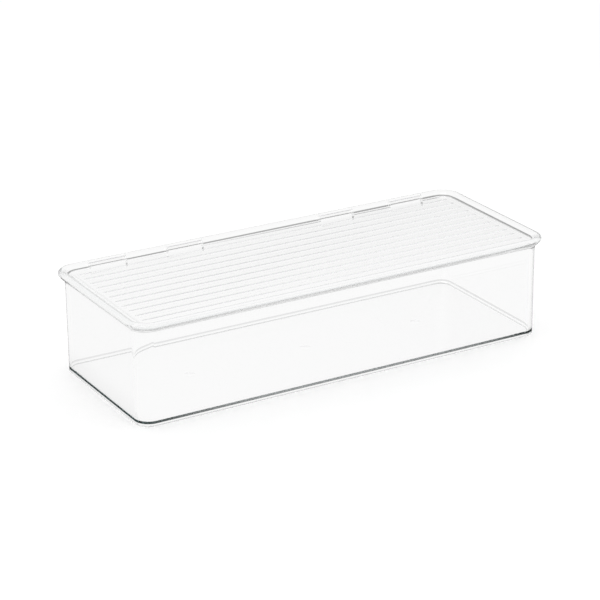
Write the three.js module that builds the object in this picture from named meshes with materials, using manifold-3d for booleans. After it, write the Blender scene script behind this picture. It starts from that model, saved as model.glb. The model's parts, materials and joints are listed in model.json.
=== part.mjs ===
// Clear storage bin with a ribbed lid that hinges along the rear of its rim.
// Millimetres, +Z up. The origin is the centre of the underside and the hinge is on the +Y side.

import * as THREE from 'three';
import { mergeVertices } from 'three/addons/utils/BufferGeometryUtils.js';
import Module from 'manifold-3d';

// Overall size, measured over the rim
const length = 340;
const depth = 135.5;
const height = 77.4;
const cornerRadius = 16.2;

// Walls and floor of the bin, and the low foot ring that holds the floor off the table
const rimOverhang = 4.8;
const wallThickness = 2.6;
const floorThickness = 2.1;
const footHeight = 1.5;
const footWidth = 3.7;
const bottomEdgeRadius = 2.0;

// Section of the rim. Insets run inwards from its outermost line, drops run down from its crest.
const rimWidth = 6.6;
const crestInset = 2.8;
const bulgeDrop = 2.0;
const bulgeFullness = 1.6;
const innerShoulderDrop = 2.9;
const creaseInset = 4.0;
const creaseDrop = 7.0;
const flareFullness = 3.5;
const flareDrop = 12.5;

// Lid panel and its clearances in the rim
const lidRecess = 3.0;
const lidThickness = 2.0;
const lidEdgeRadius = 0.4;
const lidSideGap = 0.45;
const lidRearGap = 1.2;
const lidSeatGap = 0.3;

// Fine ribs on top of the lid, which part it into equal bands
const ribCount = 11;
const ribWidth = 1.5;
const ribCrestWidth = 0.6;
const ribHeight = 0.3;
const ribEndMargin = 6.8;
const ribRoot = 0.3;

// Shallow finger groove along the front edge of the lid
const grooveEndInset = 58;
const grooveDepth = 1.2;
const grooveEndSlope = 3;

// Hinge: knuckles of the lid clip over rods that bridge notches in the rear rim
const hingeEndInset = 42.8;
const hingePitch = 62.4;
const hingeInset = 4.0;
const hingeDrop = 3.2;
const notchLength = 29.2;
const notchDrop = 10.3;
const rodRadius = 1.5;
const rodEmbed = 1.5;
const rodClearance = 0.3;
const knuckleEndGap = 0.4;
const knuckleNeck = 1.6;
const mouthStart = THREE.MathUtils.degToRad(215);
const mouthEnd = THREE.MathUtils.degToRad(310);

// Moulding gate marks under the floor
const gateCount = 3;
const gatePitch = 96;
const gateRadius = 2.6;
const gateRecess = 0.4;

// Facets and the overshoot of cutting tools
const cornerDivisions = 4;
const sectionDivisions = 4;
const roundSides = 32;
const cutMargin = 1;

// Derived places
const rear = depth / 2;
const wallInset = rimOverhang + wallThickness;
const floorTop = footHeight + floorThickness;
const lidTop = height - lidRecess;
const lidBottom = lidTop - lidThickness;
const ledge = lidBottom - lidSeatGap;
const hingeY = rear - hingeInset;
const hingeZ = height - hingeDrop;
const outerHinge = length / 2 - hingeEndInset;
const hingeCentres = [-outerHinge, hingePitch - outerHinge, outerHinge - hingePitch, outerHinge];
const rimOutline = { right: length / 2, front: -rear, rear, radius: cornerRadius };
const lidOutline = {
  right: length / 2 - rimWidth - lidSideGap,
  front: -rear + rimWidth + lidSideGap,
  rear: rear - rimWidth - lidRearGap,
  radius: cornerRadius - rimWidth - lidSideGap,
};

const wasm = await Module();
wasm.setup();

// Turns a closed geometry into a solid for cutting and joining.
function toSolid(geometry) {
  const bare = geometry.clone();
  bare.deleteAttribute('normal');
  bare.deleteAttribute('uv');
  const merged = mergeVertices(bare);
  const vertProperties = new Float32Array(merged.attributes.position.array);
  const triVerts = new Uint32Array(merged.index.array);
  return new wasm.Manifold(new wasm.Mesh({ numProp: 3, vertProperties, triVerts }));
}

function toGeometry(solid) {
  const mesh = solid.getMesh();
  const geometry = new THREE.BufferGeometry();
  geometry.setAttribute('position', new THREE.BufferAttribute(new Float32Array(mesh.vertProperties), 3));
  geometry.setIndex(new THREE.BufferAttribute(new Uint32Array(mesh.triVerts), 1));
  geometry.computeVertexNormals();
  return geometry;
}

// One round-cornered ring of an outline, moved inwards by inset; the corners keep their centres.
function ring(outline, inset, z) {
  const radius = outline.radius - inset;
  const right = outline.right - outline.radius;
  const front = outline.front + outline.radius;
  const back = outline.rear - outline.radius;
  const path = new THREE.Path();
  path.absarc(right, back, radius, 0, Math.PI / 2);
  path.absarc(-right, back, radius, Math.PI / 2, Math.PI);
  path.absarc(-right, front, radius, Math.PI, 1.5 * Math.PI);
  path.absarc(right, front, radius, 1.5 * Math.PI, 2 * Math.PI);
  return path.getPoints(cornerDivisions).map((point) => new THREE.Vector3(point.x, point.y, z));
}

// Carries a section of insets and heights round an outline and closes both ends with flat faces.
function carry(outline, section) {
  const rings = section.getPoints(sectionDivisions).map((point) => ring(outline, point.x, point.y));
  const count = rings[0].length;
  const top = (rings.length - 1) * count;
  const index = [];
  for (let start = 0; start < top; start += count) {
    for (let side = 0; side < count; side += 1) {
      const next = (side + 1) % count;
      index.push(start + side, start + next, start + count + next);
      index.push(start + side, start + count + next, start + count + side);
    }
  }
  for (let side = 1; side < count - 1; side += 1) {
    index.push(0, side + 1, side);
    index.push(top, top + side, top + side + 1);
  }
  const geometry = new THREE.BufferGeometry();
  geometry.setAttribute('position', new THREE.Float32BufferAttribute(rings.flat().flatMap((p) => p.toArray()), 3));
  geometry.setIndex(index);
  return geometry;
}

// Extrudes a shape drawn in Y and Z along X, centred on the given place.
function extrudeAlongX(shape, span, centre) {
  const geometry = new THREE.ExtrudeGeometry(shape, {
    depth: span, bevelEnabled: false, curveSegments: 2 * sectionDivisions,
  });
  const axes = [[0, 1, 0], [0, 0, 1], [1, 0, 0]].map((axis) => new THREE.Vector3(...axis));
  geometry.applyMatrix4(new THREE.Matrix4().makeBasis(...axes));
  geometry.translate(centre - span / 2, 0, 0);
  return geometry;
}

function roundBarAlongX(radius, span, centre) {
  const geometry = new THREE.CylinderGeometry(radius, radius, span, roundSides);
  geometry.rotateZ(Math.PI / 2);
  geometry.translate(centre, hingeY, hingeZ);
  return geometry;
}

function box(low, high) {
  const geometry = new THREE.BoxGeometry(high[0] - low[0], high[1] - low[1], high[2] - low[2]);
  geometry.translate((low[0] + high[0]) / 2, (low[1] + high[1]) / 2, (low[2] + high[2]) / 2);
  return geometry;
}

// Continues a section from the crease under the rim, over the bulge and the crest, to the inner shoulder.
// Each end of the rim has its own mapping of inset and height to the drawing's coordinates.
function addRim(section, place) {
  section.lineTo(...place(creaseInset, height - creaseDrop));
  section.quadraticCurveTo(
    ...place(0, height - bulgeDrop - bulgeFullness),
    ...place(0, height - bulgeDrop),
  );
  const quarter = 4 / 3 * (Math.SQRT2 - 1);
  section.bezierCurveTo(
    ...place(0, height - bulgeDrop * (1 - quarter)),
    ...place(crestInset * (1 - quarter), height),
    ...place(crestInset, height),
  );
  const inner = rimWidth - crestInset;
  section.bezierCurveTo(
    ...place(crestInset + inner * quarter, height),
    ...place(rimWidth, height - innerShoulderDrop * (1 - quarter)),
    ...place(rimWidth, height - innerShoulderDrop),
  );
}

// Bin section: foot ring, wall, flare, rim, ledge for the lid, inner wall and floor.
function binSection() {
  const section = new THREE.Path();
  section.moveTo(rimOverhang + footWidth, footHeight);
  section.lineTo(rimOverhang + footWidth, 0);
  section.lineTo(rimOverhang + bottomEdgeRadius, 0);
  section.quadraticCurveTo(rimOverhang, 0, rimOverhang, bottomEdgeRadius);
  section.lineTo(rimOverhang, height - flareDrop);
  section.quadraticCurveTo(
    rimOverhang, height - flareDrop + flareFullness,
    creaseInset, height - creaseDrop,
  );
  addRim(section, (inset, z) => [inset, z]);
  section.lineTo(rimWidth, ledge);
  section.lineTo(wallInset, ledge);
  section.lineTo(wallInset, floorTop);
  return section;
}

function binGeometry() {
  let bin = toSolid(carry(rimOutline, binSection()));
  for (const centre of hingeCentres) {
    const notch = box(
      [centre - notchLength / 2, rear - wallInset - cutMargin, height - notchDrop],
      [centre + notchLength / 2, rear + cutMargin, height + cutMargin],
    );
    const rod = roundBarAlongX(rodRadius, notchLength + 2 * rodEmbed, centre);
    bin = bin.subtract(toSolid(notch)).add(toSolid(rod));
  }
  for (let gate = 0; gate < gateCount; gate += 1) {
    const mark = new THREE.CylinderGeometry(gateRadius, gateRadius, 2 * gateRecess, roundSides);
    mark.rotateX(Math.PI / 2);
    mark.translate((gate - (gateCount - 1) / 2) * gatePitch, 0, footHeight);
    bin = bin.subtract(toSolid(mark));
  }
  return toGeometry(bin);
}

// Lid panel with rounded edges.
function panelSection() {
  const section = new THREE.Path();
  section.moveTo(lidEdgeRadius, lidBottom);
  section.quadraticCurveTo(0, lidBottom, 0, lidBottom + lidEdgeRadius);
  section.lineTo(0, lidTop - lidEdgeRadius);
  section.quadraticCurveTo(0, lidTop, lidEdgeRadius, lidTop);
  return section;
}

function fingerGroove() {
  const halfSpan = length / 2 - grooveEndInset;
  const edge = lidOutline.front;
  const shape = new THREE.Shape();
  shape.moveTo(-halfSpan, edge - cutMargin);
  shape.lineTo(halfSpan, edge - cutMargin);
  shape.lineTo(halfSpan, edge);
  shape.lineTo(halfSpan - grooveEndSlope, edge + grooveDepth);
  shape.lineTo(grooveEndSlope - halfSpan, edge + grooveDepth);
  shape.lineTo(-halfSpan, edge);
  const geometry = new THREE.ExtrudeGeometry(shape, { depth: lidThickness + 2 * cutMargin, bevelEnabled: false });
  geometry.translate(0, 0, lidBottom - cutMargin);
  return geometry;
}

function rib(place) {
  const y = THREE.MathUtils.lerp(lidOutline.front, lidOutline.rear, place);
  const shape = new THREE.Shape();
  shape.moveTo(y - ribWidth / 2, lidTop - ribRoot);
  shape.lineTo(y + ribWidth / 2, lidTop - ribRoot);
  shape.lineTo(y + ribWidth / 2, lidTop);
  shape.lineTo(y + ribCrestWidth / 2, lidTop + ribHeight);
  shape.lineTo(y - ribCrestWidth / 2, lidTop + ribHeight);
  shape.lineTo(y - ribWidth / 2, lidTop);
  return extrudeAlongX(shape, 2 * (lidOutline.right - ribEndMargin), 0);
}

// A knuckle repeats the rim's section across its notch, so that the closed rim looks unbroken.
// Its neck runs into the panel, and its mouth below lets the rod snap into its bore.
function knuckle(centre) {
  const span = notchLength - 2 * knuckleEndGap;
  const place = (inset, z) => [rear - inset, z];
  const neckInset = rimWidth + lidRearGap + knuckleNeck;
  const blank = new THREE.Shape();
  blank.moveTo(...place(neckInset, lidTop));
  blank.lineTo(...place(neckInset, lidBottom));
  blank.lineTo(...place(rimWidth, lidBottom));
  addRim(blank, place);
  blank.lineTo(...place(rimWidth, lidTop));

  const reach = rimWidth + knuckleNeck;
  const mouth = new THREE.Shape();
  mouth.moveTo(hingeY, hingeZ);
  for (const angle of [mouthStart, (mouthStart + mouthEnd) / 2, mouthEnd]) {
    mouth.lineTo(hingeY + reach * Math.cos(angle), hingeZ + reach * Math.sin(angle));
  }

  const bore = roundBarAlongX(rodRadius + rodClearance, span + 2 * cutMargin, centre);
  const opening = extrudeAlongX(mouth, span + 2 * cutMargin, centre);
  return toSolid(extrudeAlongX(blank, span, centre)).subtract(toSolid(bore)).subtract(toSolid(opening));
}

function lidGeometry() {
  let lid = toSolid(carry(lidOutline, panelSection())).subtract(toSolid(fingerGroove()));
  for (let number = 1; number <= ribCount; number += 1) {
    lid = lid.add(toSolid(rib(number / (ribCount + 1))));
  }
  for (const centre of hingeCentres) {
    lid = lid.add(knuckle(centre));
  }
  return toGeometry(lid);
}

const clearPlastic = { color: 0xf1f5f4, roughness: 0.06, metalness: 0, transparent: true, opacity: 0.3 };

const bin = new THREE.Mesh(binGeometry(), new THREE.MeshStandardMaterial(clearPlastic));
bin.name = 'bin_body';

const lid = new THREE.Mesh(lidGeometry(), new THREE.MeshStandardMaterial(clearPlastic));
lid.name = 'hinged_lid';
lid.position.set(0, -hingeY, -hingeZ);

const lidHinge = new THREE.Group();
lidHinge.position.set(0, hingeY, hingeZ);
lidHinge.add(lid);

const storageBin = new THREE.Group();
storageBin.add(bin, lidHinge);

export default storageBin;
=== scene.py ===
import json
import math

import bmesh
import bpy
import numpy as np
from mathutils import Matrix, Vector


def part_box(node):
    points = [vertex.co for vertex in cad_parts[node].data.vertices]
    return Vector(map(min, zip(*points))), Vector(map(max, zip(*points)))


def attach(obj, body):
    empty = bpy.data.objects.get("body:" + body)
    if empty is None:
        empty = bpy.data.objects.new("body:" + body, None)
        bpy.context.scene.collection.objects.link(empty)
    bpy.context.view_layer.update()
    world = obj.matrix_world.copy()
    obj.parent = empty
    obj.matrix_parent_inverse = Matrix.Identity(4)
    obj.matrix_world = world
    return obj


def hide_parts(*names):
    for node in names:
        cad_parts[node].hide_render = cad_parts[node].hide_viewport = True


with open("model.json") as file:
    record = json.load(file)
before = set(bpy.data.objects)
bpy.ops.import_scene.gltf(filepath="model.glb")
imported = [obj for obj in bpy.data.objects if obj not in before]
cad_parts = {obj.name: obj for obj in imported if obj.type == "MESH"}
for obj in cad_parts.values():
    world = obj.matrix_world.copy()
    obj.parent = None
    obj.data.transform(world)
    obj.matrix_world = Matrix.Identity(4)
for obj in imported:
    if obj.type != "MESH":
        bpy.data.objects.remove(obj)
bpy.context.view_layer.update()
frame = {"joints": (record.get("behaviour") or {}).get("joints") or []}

mm = 0.001
scene = bpy.context.scene
binLow, binHigh = (np.array(corner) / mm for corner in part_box("bin_body"))
lidLow, lidHigh = (np.array(corner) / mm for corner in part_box("hinged_lid"))
hinge = next(joint for joint in frame["joints"] if joint["name"] == "lid_hinge")
hingeY, hingeZ = (value / mm for value in hinge["pos_m"][1:])
halfLength, halfDepth, height = binHigh
print("frame loaded, bin", np.round(binHigh - binLow, 2), "mm, lid", np.round(lidHigh - lidLow, 2), "mm")


# shared shape helpers, all in millimetres

def curve(controls, steps):
    # Bezier curve: at share t the control points are weighted by the Bernstein terms of their degree
    controls = np.asarray(controls, float)
    degree = len(controls) - 1
    t = np.linspace(0, 1, steps + 1)[:, None]
    k = np.arange(degree + 1)
    terms = np.array([math.comb(degree, i) for i in k]) * t**k * (1 - t) ** (degree - k)
    return terms @ controls


def quarter(start, corner, end, steps):
    # quarter ellipse from start to end that bulges towards the corner: the centre plus cosine and sine shares
    start, corner, end = (np.asarray(point, float) for point in (start, corner, end))
    centre = start + end - corner
    t = np.linspace(0, math.pi / 2, steps + 1)[:, None]
    return centre + np.cos(t) * (start - centre) + np.sin(t) * (end - centre)


def softCorner(before, corner, after, radius, steps):
    # a right-angled corner rounded with that radius between the two neighbouring points
    before, corner, after = (np.asarray(point, float) for point in (before, corner, after))
    into = (before - corner) / np.linalg.norm(before - corner)
    out = (after - corner) / np.linalg.norm(after - corner)
    return quarter(corner + radius * into, corner, corner + radius * out, steps)


def gridFaces(rows, columns, wrap):
    # quads between neighbouring rows and columns of a grid that is numbered row by row
    row, column = np.meshgrid(np.arange(rows - 1), np.arange(columns if wrap else columns - 1), indexing="ij")
    beside = (column + 1) % columns
    a, b = row * columns + column, row * columns + beside
    return np.stack([a, b, b + columns, a + columns], -1).reshape(-1, 4)


def makePiece(name, points, faces):
    mesh = bpy.data.meshes.new(name)
    mesh.from_pydata((np.asarray(points) * mm).tolist(), [], faces)
    mesh.validate()
    piece = bpy.data.objects.new(name, mesh)
    scene.collection.objects.link(piece)
    return piece


def shapeWith(piece, tool, operation):
    # joins or cuts with a second closed piece, keeps the finished mesh and drops the tool
    step = piece.modifiers.new(operation.lower(), "BOOLEAN")
    step.operation = operation
    step.solver = "EXACT"
    step.object = tool
    shaped = bpy.data.meshes.new_from_object(piece.evaluated_get(bpy.context.evaluated_depsgraph_get()))
    piece.modifiers.clear()
    piece.data = shaped
    bpy.data.objects.remove(tool)


sharpAngle = 32  # edges that turn by more degrees than this stay crisp


def smooth(piece):
    piece.data.shade_smooth()
    piece.data.set_sharp_from_angle(angle=math.radians(sharpAngle))


def bars(name, section, axis, spans):
    # closed bars: one flat section of (first, second) carried straight along the axis over each span
    count = len(section)
    points, faces = [], []
    for low, high in spans:
        start = 2 * count * len(points)
        ends = np.repeat([[low], [high]], count, 0)
        flat = np.tile(section, (2, 1))
        points.append(np.insert(flat, axis, ends[:, 0], axis=1))
        faces += [[start + k for k in quad] for quad in gridFaces(2, count, True).tolist()]
        faces += [list(range(start + count - 1, start - 1, -1)), list(range(start + count, start + 2 * count))]
    piece = makePiece(name, np.concatenate(points), faces)
    return faceOut(piece)


def faceOut(piece):
    work = bmesh.new()
    work.from_mesh(piece.data)
    bmesh.ops.recalc_face_normals(work, faces=work.faces)
    work.to_mesh(piece.data)
    work.free()
    return piece


# rim section shared by the bin and the hinge knuckles: insets from the outermost line, drops from the crest
rimShape = {
    "width": 6.6, "crestInset": 2.8, "bulgeDrop": 2.0, "bulgeFullness": 1.6, "shoulderDrop": 2.9,
    "creaseInset": 4.0, "creaseDrop": 7.0, "steps": 12,
}


def rimLine():
    # from the crease, round the bulge, over the crest and down to the inner shoulder
    r = rimShape
    crease = (r["creaseInset"], height - r["creaseDrop"])
    bulge = (0, height - r["bulgeDrop"])
    crest = (r["crestInset"], height)
    shoulder = (r["width"], height - r["shoulderDrop"])
    return np.concatenate([
        curve([crease, (0, bulge[1] - r["bulgeFullness"]), bulge], r["steps"]),
        quarter(bulge, (0, height), crest, r["steps"])[1:],
        quarter(crest, (r["width"], height), shoulder, r["steps"])[1:],
    ])


# bin

binShape = {
    "cornerRadius": 16.2, "overhang": 4.8, "wall": 2.6, "bottomEdge": 0.9, "footWidth": 3.7, "recess": 1.5,
    "floorTop": 3.6, "floorFillet": 0.2, "flareDrop": 12.5, "flareFullness": 3.5, "ledge": 5.3,
    "softEdge": 0.25, "footSoft": 0.72, "capInset": 16.0, "support": 0.6,
    "cornerSteps": 20, "edgeSteps": 6, "softSteps": 3,
    # where each straight side has its cuts, as shares of its length
    "sideCuts": (0.01, 0.1, 0.3, 0.5, 0.7, 0.9, 0.99),
}
notchShape = {
    "endInset": 42.8, "pitch": 62.4, "length": 29.2, "drop": 10.3, "rodRadius": 1.5, "rodEmbed": 1.5,
    "rodSides": 48, "corner": 0.8, "cornerSteps": 4, "past": 1.0,
}
gateShape = {"count": 3, "pitch": 96.0, "radius": 4.0, "depth": 0.14, "lip": 0.1, "tip": 0.02, "rings": 8}


def binSection():
    # inset and height from the recessed underside round the foot, up the wall, over the rim, down to the floor
    b = binShape
    inner = b["overhang"] + b["wall"]
    foot = b["overhang"] + b["footWidth"]
    flareFoot = (b["overhang"], height - b["flareDrop"])
    ledge = height - b["ledge"]
    width = rimShape["width"]
    crease = (rimShape["creaseInset"], height - rimShape["creaseDrop"])
    near, soft, cap = b["support"], b["softEdge"], b["capInset"]
    return np.concatenate([
        [(cap, b["recess"]), (foot + b["footSoft"] + near, b["recess"])],
        softCorner((cap, b["recess"]), (foot, b["recess"]), (foot, 0), b["footSoft"], b["edgeSteps"]),
        softCorner((foot, b["recess"]), (foot, 0), (b["overhang"], 0), b["footSoft"], b["edgeSteps"]),
        softCorner((cap, 0), (b["overhang"], 0), (b["overhang"], height), b["bottomEdge"], b["edgeSteps"]),
        [(b["overhang"], b["bottomEdge"] + near), (b["overhang"], flareFoot[1] - near)],
        curve([flareFoot, (b["overhang"], flareFoot[1] + b["flareFullness"]), crease], b["edgeSteps"] * 2)[:-1],
        rimLine(),
        softCorner((width, height), (width, ledge), (inner, ledge), soft, b["softSteps"]),
        softCorner((width, ledge), (inner, ledge), (inner, 0), soft, b["softSteps"]),
        [(inner, ledge - soft - near), (inner, b["floorTop"] + b["floorFillet"] + near)],
        softCorner((inner, height), (inner, b["floorTop"]), (cap, b["floorTop"]), b["floorFillet"], b["edgeSteps"]),
        [(inner + b["floorFillet"] + near, b["floorTop"]), (cap, b["floorTop"])],
    ])


def outlineDirections():
    # round-cornered outline as bases and outward directions: a point of inset s is base + (radius - s) * direction
    radius = binShape["cornerRadius"]
    corner = np.array([halfLength - radius, halfDepth - radius])
    signs = np.array([[1, 1], [-1, 1], [-1, -1], [1, -1]])
    turn = np.linspace(0, math.pi / 2, binShape["cornerSteps"] + 1)
    shares = np.array(binShape["sideCuts"])[:, None]
    bases, directions = [], []
    for k, sign in enumerate(signs):
        angle = turn + k * math.pi / 2
        bases.append(np.repeat([sign * corner], len(turn), 0))
        directions.append(np.stack([np.cos(angle), np.sin(angle)], -1))
        following = signs[(k + 1) % 4] * corner
        bases.append(sign * corner + shares * (following - sign * corner))
        directions.append(np.repeat(directions[-1][-1:], len(shares), 0))
    return np.concatenate(bases), np.concatenate(directions)


def hingeCentres():
    outer = halfLength - notchShape["endInset"]
    inner = outer - notchShape["pitch"]
    return np.array([-outer, -inner, inner, outer])


def gateMark(x):
    # lens that cuts a shallow dimple: above a low upright lip its height falls with the square of the distance
    g = gateShape
    share = np.linspace(1, g["tip"], g["rings"])
    turn = np.linspace(0, 2 * math.pi, notchShape["rodSides"], endpoint=False)
    radii = np.concatenate([[g["tip"], 1], share])
    rise = np.concatenate([[-1, -1], 1 - (1 - g["lip"]) * share**2])
    ring = g["radius"] * np.stack([np.cos(turn), np.sin(turn)], -1)
    flat = radii[:, None, None] * ring + (x, 0)
    level = binShape["recess"] + g["depth"] * rise
    points = np.concatenate([flat, np.repeat(level[:, None, None], len(turn), 1)], -1)
    rows, columns = points.shape[:2]
    faces = gridFaces(rows, columns, True).tolist()
    faces += [list(range(columns)), list(range((rows - 1) * columns, rows * columns))]
    return faceOut(makePiece("gate", points.reshape(-1, 3), faces))


def makeBin():
    section = binSection()
    bases, directions = outlineDirections()
    reach = binShape["cornerRadius"] - section[:, 0]
    flat = bases + reach[:, None, None] * directions
    points = np.concatenate([flat, np.repeat(section[:, None, 1:], len(bases), 1)], -1)
    rows, columns = points.shape[:2]
    faces = gridFaces(rows, columns, True).tolist()
    faces.append(list(range(columns - 1, -1, -1)))
    faces.append(list(range((rows - 1) * columns, rows * columns)))
    piece = makePiece("clearBin", points.reshape(-1, 3), faces)

    n = notchShape
    sill = height - n["drop"]
    half = n["length"] / 2
    top = height + n["past"]
    inside = halfDepth - binShape["overhang"] - binShape["wall"] - n["past"]
    for centre in hingeCentres():
        left, right = centre - half, centre + half
        outline = np.concatenate([
            [(left, top)],
            softCorner((left, top), (left, sill), (right, sill), n["corner"], n["cornerSteps"]),
            softCorner((left, sill), (right, sill), (right, top), n["corner"], n["cornerSteps"]),
            [(right, top)],
        ])
        shapeWith(piece, bars("notch", outline, 1, [(inside, halfDepth + n["past"])]), "DIFFERENCE")
    turn = np.linspace(0, 2 * math.pi, n["rodSides"], endpoint=False)
    rod = np.stack([hingeY + n["rodRadius"] * np.cos(turn), hingeZ + n["rodRadius"] * np.sin(turn)], -1)
    spans = [(c - half - n["rodEmbed"], c + half + n["rodEmbed"]) for c in hingeCentres()]
    shapeWith(piece, bars("rods", rod, 0, spans), "UNION")
    for number in range(gateShape["count"]):
        shapeWith(piece, gateMark((number - (gateShape["count"] - 1) / 2) * gateShape["pitch"]), "DIFFERENCE")
    smooth(piece)
    return piece


# lid

lidShape = {
    "recess": 3.0, "thickness": 2.0, "edge": 0.45, "sideGap": 0.45, "rearGap": 1.2,
    "ribCount": 11, "ribWidth": 1.7, "ribHeight": 0.28, "ribEndMargin": 6.8, "ribTaper": 1.2,
    "grooveEndInset": 58.0, "grooveDepth": 1.2, "grooveSlope": 3.0, "grooveFade": 7.0,
    "cornerSteps": 14, "edgeSteps": 4,
    # rows across a rib and beside it, and columns along the right half: plain ones, at the groove's end and at
    # the ribs' ends
    "ribRows": 15, "besideRib": 2.5, "leastRow": 0.05, "innerColumns": (0, 20, 40, 60, 80, 95),
    "outerColumns": (130, 145), "grooveColumns": 13, "grooveSpread": 1.5, "endColumns": 9, "endSpread": 1.2,
}
knuckleShape = {
    "endGap": 0.4, "neck": 1.6, "neckSink": 0.15, "boreClearance": 0.3, "mouth": (215, 310), "steps": 48,
}


def smoothStep(low, high, value):
    # 3t^2 - 2t^3 of the share t between low and high
    t = np.clip((value - low) / (high - low), 0, 1)
    return t * t * (3 - 2 * t)


def lidOutline():
    width = rimShape["width"]
    side = width + lidShape["sideGap"]
    return {
        "right": halfLength - side, "front": side - halfDepth, "rear": halfDepth - width - lidShape["rearGap"],
        "radius": binShape["cornerRadius"] - side,
    }


def ribLines():
    o = lidOutline()
    shares = np.arange(1, lidShape["ribCount"] + 1) / (lidShape["ribCount"] + 1)
    return o["front"] + shares * (o["rear"] - o["front"])


def lidGrid(inset):
    # rows of constant y and columns of x; in the corners each row ends on the round outline
    o, s = lidOutline(), lidShape
    right, front, rear = o["right"] - inset, o["front"] + inset, o["rear"] - inset
    radius = o["radius"] - inset
    turn = np.sin(np.linspace(math.pi / 2, 0, s["cornerSteps"] + 1))
    acrossRib = np.linspace(-1, 1, s["ribRows"]) * s["ribWidth"] / 2
    middle = (ribLines()[:, None] + np.append(acrossRib, [-s["besideRib"], s["besideRib"]])).ravel()
    low, high = front + radius, rear - radius
    middle = np.sort(middle[(middle > low + s["leastRow"]) & (middle < high - s["leastRow"])])
    y = np.concatenate([low - radius * turn, middle, high + radius * turn[::-1]])
    past = np.maximum(np.maximum(low - y, y - high), 0)
    half = right - radius + np.sqrt(np.maximum(radius**2 - past**2, 0))
    ribEnd = o["right"] - s["ribEndMargin"]
    taper = np.linspace(-s["endSpread"], s["endSpread"], s["endColumns"]) * s["ribTaper"]
    grooveEnd = halfLength - s["grooveEndInset"]
    bend = np.linspace(-s["grooveSpread"], s["grooveSpread"], s["grooveColumns"]) * s["grooveSlope"]
    rightHalf = np.concatenate([s["innerColumns"], grooveEnd + bend, s["outerColumns"], ribEnd + taper])
    x = np.concatenate([[-right], -rightHalf[:0:-1], rightHalf, [right]]) / right
    return half[:, None] * x, np.repeat(y[:, None], len(x), 1)


def ribRise(x, y):
    # raised cosine across each rib, faded out over its rounded ends
    ends = lidOutline()["right"] - lidShape["ribEndMargin"]
    along = 1 - smoothStep(ends - lidShape["ribTaper"], ends + lidShape["ribTaper"], np.abs(x))
    across = np.abs(y[..., None] - ribLines()).min(-1) / (lidShape["ribWidth"] / 2)
    return lidShape["ribHeight"] * along * 0.5 * (1 + np.cos(math.pi * np.clip(across, 0, 1)))


def grooveShift(x, y):
    # moves the front edge back between the groove's sloping ends, fading out towards the first rib
    end = halfLength - lidShape["grooveEndInset"]
    along = 1 - smoothStep(end - lidShape["grooveSlope"], end + lidShape["grooveSlope"], np.abs(x))
    inwards = 1 - smoothStep(0, lidShape["grooveFade"], y - lidOutline()["front"])
    return lidShape["grooveDepth"] * along * inwards


def loopOf(rows, columns):
    # the border of a grid numbered row by row, once round against the clock seen from above
    front = np.arange(columns)
    right = np.arange(1, rows) * columns + columns - 1
    rear = (rows - 1) * columns + np.arange(columns - 2, -1, -1)
    left = np.arange(rows - 2, 0, -1) * columns
    return np.concatenate([front, right, rear, left])


def lidPanel():
    top = height - lidShape["recess"]
    bottom = top - lidShape["thickness"]
    edge = lidShape["edge"]
    o = lidOutline()
    x, y = lidGrid(edge)
    rows, columns = x.shape
    upper = np.stack([x, y, top + ribRise(x, y)], -1).reshape(-1, 3)
    lower = np.stack([x, y, np.full_like(x, bottom)], -1).reshape(-1, 3)
    loop = loopOf(rows, columns)
    border = upper[loop, :2]
    # outward direction of the border: from the nearest point of the rectangle of corner centres
    centreLow = np.array([o["radius"] - o["right"], o["front"] + o["radius"]])
    centreHigh = np.array([o["right"] - o["radius"], o["rear"] - o["radius"]])
    out = border - np.clip(border, centreLow, centreHigh)
    out /= np.linalg.norm(out, axis=1)[:, None]
    lean = np.linspace(0, math.pi / 2, lidShape["edgeSteps"] + 1)[1:]
    reach = edge * np.concatenate([np.sin(lean), np.sin(lean)[::-1]])
    level = np.concatenate([top - edge * (1 - np.cos(lean)), bottom + edge * (1 - np.cos(lean))[::-1]])
    rings = np.concatenate([
        border + reach[:, None, None] * out, np.repeat(level[:, None, None], len(loop), 1)], -1)
    points = np.concatenate([upper, lower, rings.reshape(-1, 3)])
    points[:, 1] += grooveShift(points[:, 0], points[:, 1])

    size, count = rows * columns, len(loop)
    quads = gridFaces(rows, columns, False)
    order = np.concatenate([[loop], 2 * size + np.arange(len(level) * count).reshape(-1, count), [size + loop]])
    beside = np.roll(order, -1, axis=1)
    skirt = np.stack([order[1:], beside[1:], beside[:-1], order[:-1]], -1).reshape(-1, 4)
    faces = np.concatenate([quads, size + quads[:, ::-1], skirt])
    return makePiece("ribbedLid", points, faces.tolist())


def knuckleSection():
    # the rim's own section with a neck into the panel, a bore round the rod and a mouth below
    k = knuckleShape
    top = height - lidShape["recess"] - k["neckSink"]
    bottom = height - lidShape["recess"] - lidShape["thickness"] + k["neckSink"]
    width = rimShape["width"]
    neck = width + lidShape["rearGap"] + k["neck"]
    root, tip = (math.radians(angle) for angle in k["mouth"])
    bore = notchShape["rodRadius"] + k["boreClearance"]
    turn = np.linspace(tip - 2 * math.pi, root, k["steps"])
    boreLine = np.stack([halfDepth - hingeY - bore * np.cos(turn), hingeZ + bore * np.sin(turn)], -1)
    rim = rimLine()
    # the tip keeps the part of the bulge above the mouth's lower side
    aside = np.stack([halfDepth - rim[:, 0] - hingeY, rim[:, 1] - hingeZ], -1)
    angle = np.arctan2(aside[:, 1], aside[:, 0])
    rim = rim[(angle > tip - 2 * math.pi) | (rim[:, 0] > rimShape["crestInset"])]
    rootLow = (halfDepth - hingeY + (hingeZ - bottom) / math.tan(root - math.pi), bottom)
    section = np.concatenate([
        rim, [(width, top), (neck, top), (neck, bottom), rootLow], boreLine[::-1]])
    return np.stack([halfDepth - section[:, 0], section[:, 1]], -1)


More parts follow.
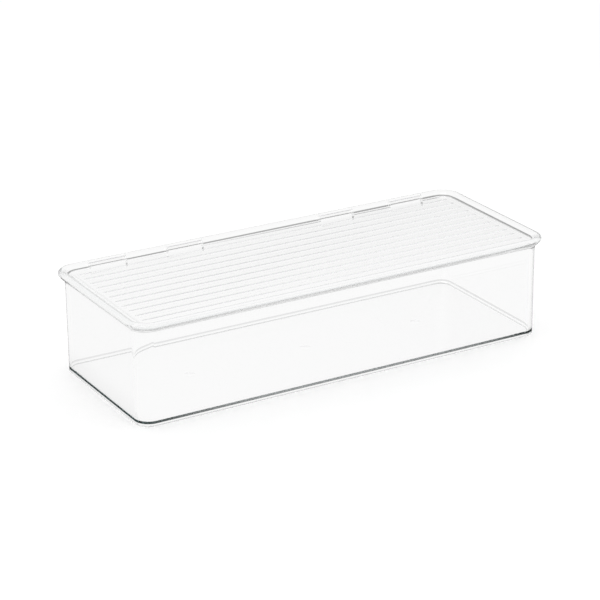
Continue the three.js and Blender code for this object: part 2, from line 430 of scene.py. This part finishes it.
def makeLid():
    piece = lidPanel()
    half = notchShape["length"] / 2 - knuckleShape["endGap"]
    spans = [(c - half, c + half) for c in hingeCentres()]
    shapeWith(piece, bars("knuckles", knuckleSection(), 0, spans), "UNION")
    smooth(piece)
    return piece


clearBin = makeBin()
print("bin", len(clearBin.data.polygons), "faces")
ribbedLid = makeLid()
print("lid", len(ribbedLid.data.polygons), "faces")


# clear plastic

def mathNode(nodes, links, operation, first, second=0.0):
    node = nodes.new("ShaderNodeMath")
    node.operation = operation
    for socket, value in zip(node.inputs, (first, second)):
        if isinstance(value, (int, float)):
            socket.default_value = value
        else:
            links.new(value, socket)
    return node.outputs[0]


plasticLook = {
    # the two dark colours after clear are painted shade along the floor plate's edge: near black at the ends, dark
    # grey along the sides
    "clear": (1.0, 1.0, 1.0, 1), "endPaintedShade": (0.0015, 0.004, 0.004, 1), "sidePaintedShade": (0.11, 0.12, 0.12, 1),
    # heights of the painted shade band at the floor plate's edge, and how much each fades
    "edgeLow": 0.0024, "edgeHigh": 0.0041, "edgeSoft": 0.0003,
    # the painted shade fades in between two depths below the skin, as shares of the wall; the X reach of the ends;
    # the share of the painted shade that light going out is spared
    "skinShares": (0.8, 0.4), "endReach": (0.05, 0.17), "clearOut": 0.65,
    "ior": 1.4, "murk": (0.484, 0.5, 0.5, 1), "density": 0.8, "shadow": (0.985, 0.988, 0.988, 1), "depth": 6,
}


def paintedEdgeShade():
    # painted shade in the plastic's colour: on the outer skin it is darker between two heights, where one looks
    # into the edge of the floor plate, and darkest at the ends, where one looks along the plate
    p = plasticLook
    group = bpy.data.node_groups.new("paintedEdgeShade", "ShaderNodeTree")
    group.interface.new_socket("Position", in_out="INPUT", socket_type="NodeSocketVector")
    group.interface.new_socket("Color", in_out="OUTPUT", socket_type="NodeSocketColor")
    nodes, links = group.nodes, group.links
    source = nodes.new("NodeGroupInput")
    result = nodes.new("NodeGroupOutput")

    def vectorNode(operation, first, second=None):
        node = nodes.new("ShaderNodeVectorMath")
        node.operation = operation
        links.new(first, node.inputs[0])
        if second is not None:
            node.inputs[1].default_value = second
        return node

    def splitNode(vector):
        node = nodes.new("ShaderNodeSeparateXYZ")
        links.new(vector, node.inputs[0])
        return node

    def stepNode(value, start, end):
        node = nodes.new("ShaderNodeMapRange")
        node.interpolation_type = "SMOOTHSTEP"
        node.inputs["From Min"].default_value = start
        node.inputs["From Max"].default_value = end
        links.new(value, node.inputs["Value"])
        return node.outputs[0]

    def mixNode(share, first, second):
        node = nodes.new("ShaderNodeMix")
        node.data_type = "RGBA"
        links.new(share, node.inputs["Factor"])
        for name, value in (("A", first), ("B", second)):
            if isinstance(value, tuple):
                node.inputs[name].default_value = value
            else:
                links.new(value, node.inputs[name])
        return node.outputs["Result"]

    # how far a point lies outside the rectangle of the corner centres, and in which direction
    radius = binShape["cornerRadius"]
    centre = ((halfLength - radius) * mm, (halfDepth - radius) * mm, 1.0)
    skin = (radius - binShape["overhang"]) * mm
    folded = vectorNode("ABSOLUTE", source.outputs["Position"]).outputs[0]
    away = vectorNode("SUBTRACT", folded, centre)
    away = vectorNode("MAXIMUM", away.outputs[0], (0.0, 0.0, 0.0))
    start, end = (skin - binShape["wall"] * mm * share for share in p["skinShares"])
    outside = stepNode(vectorNode("LENGTH", away.outputs[0]).outputs["Value"], start, end)
    turned = splitNode(vectorNode("NORMALIZE", away.outputs[0]).outputs[0]).outputs["X"]
    turned = mathNode(nodes, links, "MAXIMUM", turned, stepNode(splitNode(folded).outputs["X"], *p["endReach"]))
    level = splitNode(source.outputs["Position"]).outputs["Z"]
    low = stepNode(level, p["edgeLow"] - p["edgeSoft"], p["edgeLow"])
    high = stepNode(level, p["edgeHigh"] + p["edgeSoft"], p["edgeHigh"])
    share = mathNode(nodes, links, "MULTIPLY", mathNode(nodes, links, "MULTIPLY", low, high), outside)
    # painted shade: dark grey along the sides, near black at the ends
    edge = mixNode(turned, p["sidePaintedShade"], p["endPaintedShade"])
    links.new(mixNode(share, p["clear"], edge), result.inputs["Color"])
    return group


def clearPlastic(name):
    p = plasticLook
    material = bpy.data.materials.new(name)
    material.use_nodes = True
    nodes, links = material.node_tree.nodes, material.node_tree.links
    nodes.clear()
    output = nodes.new("ShaderNodeOutputMaterial")
    place = nodes.new("ShaderNodeTexCoord")
    # the Base Color carries painted shade along the floor plate's edge
    paintedShade = nodes.new("ShaderNodeGroup")
    paintedShade.node_tree = paintedEdgeShade()
    links.new(place.outputs["Object"], paintedShade.inputs["Position"])
    body = nodes.new("ShaderNodeBsdfPrincipled")
    # the painted shade is weaker on light that goes out through the skin than on light that comes in
    side = nodes.new("ShaderNodeNewGeometry")
    entering = nodes.new("ShaderNodeMix")
    entering.data_type = "RGBA"
    weaker = mathNode(nodes, links, "MULTIPLY", side.outputs["Backfacing"], p["clearOut"])
    links.new(weaker, entering.inputs["Factor"])
    links.new(paintedShade.outputs["Color"], entering.inputs["A"])
    entering.inputs["B"].default_value = p["clear"]
    links.new(entering.outputs["Result"], body.inputs["Base Color"])
    body.inputs["Roughness"].default_value = 0.0
    body.inputs["IOR"].default_value = p["ior"]
    body.inputs["Transmission Weight"].default_value = 1.0
    clear = nodes.new("ShaderNodeBsdfTransparent")
    clear.inputs["Color"].default_value = p["shadow"]
    path = nodes.new("ShaderNodeLightPath")
    mix = nodes.new("ShaderNodeMixShader")
    # shadow rays, and rays that have bounced about inside for long, go straight through
    deep = mathNode(nodes, links, "GREATER_THAN", path.outputs["Ray Depth"], p["depth"])
    links.new(mathNode(nodes, links, "MAXIMUM", path.outputs["Is Shadow Ray"], deep), mix.inputs[0])
    links.new(body.outputs[0], mix.inputs[1])
    links.new(clear.outputs[0], mix.inputs[2])
    links.new(mix.outputs[0], output.inputs["Surface"])
    murk = nodes.new("ShaderNodeVolumeAbsorption")
    murk.inputs["Color"].default_value = p["murk"]
    murk.inputs["Density"].default_value = p["density"]
    links.new(murk.outputs[0], output.inputs["Volume"])
    return material


plastic = clearPlastic("clearPlastic")
for piece, body, node in ((clearBin, "bin", "bin_body"), (ribbedLid, "lid", "hinged_lid")):
    piece.data.materials.clear()
    piece.data.materials.append(plastic)
    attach(piece, body)
    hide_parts(node)


# stage, light and camera

stageLook = {
    "floorSize": 40.0, "floorDrop": 0.0004, "nearColour": 0.88, "farColour": 0.35, "light": 0.84,
    # the white field on the floor is an ellipse: its middle, its half axes, and the shares of them where it fades
    "fieldMiddle": (0.03, 0.06, 0.0), "fieldAxes": (0.6, 0.78, 1.0), "nearReach": 0.9, "farReach": 1.4,
    "throughWhite": 0.97,
    # mirrored light comes from a darker floor behind and to the right: where that starts in X and Y, and how much
    "darkFromX": (-0.19, -0.16), "darkFromY": (-0.085, -0.06), "mirrorDimmed": (0.15, 0.9), "mirrorDepth": 1.5,
    # share of white at the sine of the elevation
    "sky": [(0.0, 0.3), (0.25, 0.3), (0.30, 0.42), (0.33, 0.66), (0.37, 0.92), (0.5, 1.0), (0.78, 1.0), (1.0, 0.5)],
}


def makeFloor():
    s = stageLook
    half = s["floorSize"] / 2 / mm
    drop = -s["floorDrop"] / mm
    points = [(-half, -half, drop), (half, -half, drop), (half, half, drop), (-half, half, drop)]
    floor = makePiece("floor", points, [[0, 1, 2, 3]])
    material = bpy.data.materials.new("paleFloor")
    material.use_nodes = True
    nodes, links = material.node_tree.nodes, material.node_tree.links
    nodes.clear()
    output = nodes.new("ShaderNodeOutputMaterial")
    place = nodes.new("ShaderNodeTexCoord")
    away = nodes.new("ShaderNodeVectorMath")
    away.operation = "LENGTH"
    field = nodes.new("ShaderNodeMapping")
    field.vector_type = "TEXTURE"
    field.inputs["Location"].default_value = s["fieldMiddle"]
    field.inputs["Scale"].default_value = s["fieldAxes"]
    links.new(place.outputs["Object"], field.inputs["Vector"])
    links.new(field.outputs[0], away.inputs[0])
    shade = nodes.new("ShaderNodeMapRange")
    shade.interpolation_type = "SMOOTHSTEP"
    ends = (s["nearReach"], s["farReach"], s["nearColour"], s["farColour"])
    for name, value in zip(("From Min", "From Max", "To Min", "To Max"), ends):
        shade.inputs[name].default_value = value
    links.new(away.outputs["Value"], shade.inputs["Value"])
    paper = nodes.new("ShaderNodeBsdfDiffuse")
    links.new(shade.outputs[0], paper.inputs["Color"])
    path = nodes.new("ShaderNodeLightPath")
    # the camera sees the paper with its shadow, raised to white
    lit = mathNode(nodes, links, "MULTIPLY", shade.outputs[0], s["light"])
    toWhite = mathNode(nodes, links, "SUBTRACT", 1.0, lit)
    lift = nodes.new("ShaderNodeEmission")
    links.new(mathNode(nodes, links, "MULTIPLY", path.outputs["Is Camera Ray"], toWhite), lift.inputs["Strength"])
    add = nodes.new("ShaderNodeAddShader")
    links.new(paper.outputs[0], add.inputs[0])
    links.new(lift.outputs[0], add.inputs[1])
    # rays that come through or off the plastic see the same white close to the bin
    nearShare = mathNode(nodes, links, "MULTIPLY", shade.outputs[0], s["throughWhite"] / s["nearColour"])
    glossy, passed = path.outputs["Is Glossy Ray"], path.outputs["Is Transmission Ray"]
    direct = mathNode(nodes, links, "LESS_THAN", path.outputs["Ray Depth"], s["mirrorDepth"])
    mirrored = mathNode(nodes, links, "MULTIPLY", mathNode(nodes, links, "GREATER_THAN", glossy, passed), direct)
    split = nodes.new("ShaderNodeSeparateXYZ")
    links.new(place.outputs["Object"], split.inputs[0])
    beyond = []
    for axis, reach in (("X", s["darkFromX"]), ("Y", s["darkFromY"])):
        step = nodes.new("ShaderNodeMapRange")
        step.interpolation_type = "SMOOTHSTEP"
        step.inputs["From Min"].default_value, step.inputs["From Max"].default_value = reach
        links.new(split.outputs[axis], step.inputs["Value"])
        beyond.append(step.outputs[0])
    low, high = s["mirrorDimmed"]
    dark = mathNode(nodes, links, "MULTIPLY", mathNode(nodes, links, "MULTIPLY", *beyond), high - low)
    dark = mathNode(nodes, links, "ADD", dark, low)
    dimmed = mathNode(nodes, links, "MULTIPLY", mirrored, dark)
    nearShare = mathNode(nodes, links, "MULTIPLY", nearShare, mathNode(nodes, links, "SUBTRACT", 1.0, dimmed))
    white = nodes.new("ShaderNodeEmission")
    links.new(nearShare, white.inputs["Strength"])
    through = mathNode(nodes, links, "MAXIMUM", glossy, passed)
    mix = nodes.new("ShaderNodeMixShader")
    links.new(through, mix.inputs[0])
    links.new(add.outputs[0], mix.inputs[1])
    links.new(white.outputs[0], mix.inputs[2])
    links.new(mix.outputs[0], output.inputs["Surface"])
    floor.data.materials.append(material)


def makeWorld():
    world = bpy.data.worlds.new("studio")
    scene.world = world
    world.use_nodes = True
    nodes, links = world.node_tree.nodes, world.node_tree.links
    nodes.clear()
    output = nodes.new("ShaderNodeOutputWorld")
    place = nodes.new("ShaderNodeTexCoord")
    split = nodes.new("ShaderNodeSeparateXYZ")
    links.new(place.outputs["Generated"], split.inputs[0])
    ramp = nodes.new("ShaderNodeValToRGB")
    stops = stageLook["sky"]
    while len(ramp.color_ramp.elements) < len(stops):
        ramp.color_ramp.elements.new(0.5)
    for element, (position, value) in zip(ramp.color_ramp.elements, stops):
        element.position = position
        element.color = (value, value, value, 1)
    links.new(split.outputs["Z"], ramp.inputs[0])
    path = nodes.new("ShaderNodeLightPath")
    sky = nodes.new("ShaderNodeBackground")
    links.new(ramp.outputs[0], sky.inputs["Color"])
    white = nodes.new("ShaderNodeBackground")
    white.inputs["Color"].default_value = (1, 1, 1, 1)
    mix = nodes.new("ShaderNodeMixShader")
    links.new(path.outputs["Is Camera Ray"], mix.inputs[0])
    links.new(sky.outputs[0], mix.inputs[1])
    links.new(white.outputs[0], mix.inputs[2])
    links.new(mix.outputs[0], output.inputs["Surface"])


keyLook = {"place": (-1.2, -1.4, 2.2), "target": (0, 0, 0.04), "size": 1.6, "power": 12}


def makeLamp():
    k = keyLook
    data = bpy.data.lights.new("keyLamp", "AREA")
    data.size = k["size"]
    data.energy = k["power"]
    lamp = bpy.data.objects.new("keyLamp", data)
    lamp.location = k["place"]
    lamp.rotation_euler = (Vector(k["target"]) - Vector(k["place"])).to_track_quat("-Z", "Y").to_euler()
    scene.collection.objects.link(lamp)


view = {
    "azimuth": -30.06, "elevation": 21.666, "roll": -0.464, "distance": 1706.06, "aimZ": 37.4,
    "slideRight": -3.15, "slideUp": 2.265, "focal": 2335.71, "picture": 600, "sensor": 36.0, "far": 100,
}


def makeCamera():
    v = view
    a, e, roll = (math.radians(v[name]) for name in ("azimuth", "elevation", "roll"))
    back = np.array([math.sin(a) * math.cos(e), -math.cos(a) * math.cos(e), math.sin(e)])
    right = np.array([math.cos(a), math.sin(a), 0])
    up = np.cross(back, right)
    right, up = math.cos(roll) * right + math.sin(roll) * up, math.cos(roll) * up - math.sin(roll) * right
    eye = np.array([0, 0, v["aimZ"]]) + v["distance"] * back + v["slideRight"] * right + v["slideUp"] * up
    data = bpy.data.cameras.new("camera")
    data.sensor_width = v["sensor"]
    data.lens = v["focal"] / v["picture"] * v["sensor"]
    data.clip_end = v["far"]
    camera = bpy.data.objects.new("camera", data)
    turn = Matrix(np.stack([right, up, back], -1).tolist())
    camera.matrix_world = Matrix.Translation(Vector(eye * mm)) @ turn.to_4x4()
    scene.collection.objects.link(camera)
    scene.camera = camera


makeFloor()
makeWorld()
makeLamp()
makeCamera()
lightSteps = {"plastic": 256, "straight": 64}  # light takes many steps in the plastic
scene.cycles.max_bounces = lightSteps["plastic"]
scene.cycles.transmission_bounces = lightSteps["plastic"]
scene.cycles.glossy_bounces = lightSteps["plastic"]
scene.cycles.transparent_max_bounces = lightSteps["straight"]
scene.view_settings.view_transform = "Standard"
print("stage, light and camera ready")
